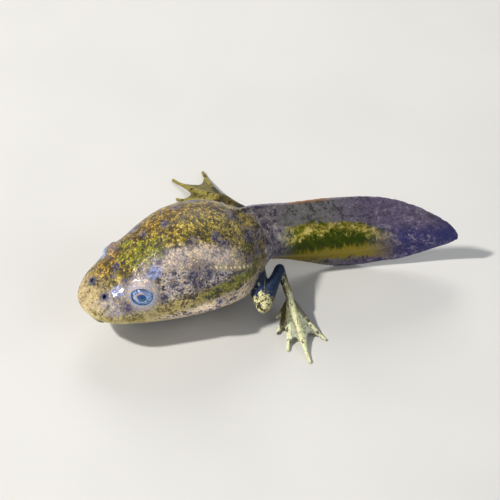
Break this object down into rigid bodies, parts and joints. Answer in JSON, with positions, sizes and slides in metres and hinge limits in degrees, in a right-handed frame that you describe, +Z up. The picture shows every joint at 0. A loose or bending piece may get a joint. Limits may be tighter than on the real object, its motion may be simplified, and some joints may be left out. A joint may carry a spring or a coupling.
{
  "type": "green frog tadpole with hind legs",
  "caption": "Still life-size model of a late-stage green frog tadpole on its belly, with folded hind legs, webbed feet and a finned tail swung to its left.",
  "frame": {"origin": "middle of the model's box, on the floor that it rests on", "axes": "+X from snout to tail, +Y to the animal's right, +Z up"},
  "size_m": [0.0622, 0.0496, 0.0178],
  "materials": {
    "skin": "moist mottled olive",
    "eye": "polished",
    "tail": "moist dark green with ochre bands",
    "fin": "moist mottled mauve",
    "leg": "moist dark blue with ochre mottling",
    "foot": "moist cream with dark bars"
  },
  "bodies": {
    "root": {"head": "skin", "torso": "skin", "eye_left": "eye", "eye_right": "eye", "tail_muscle_front": "tail", "tail_muscle_rear": "tail", "dorsal_fin": "fin", "ventral_fin": "fin", "left_thigh": "leg", "left_shank": "leg", "left_foot": "foot", "right_thigh": "leg", "right_shank": "leg", "right_foot": "foot"}
  },
  "joints": []
}
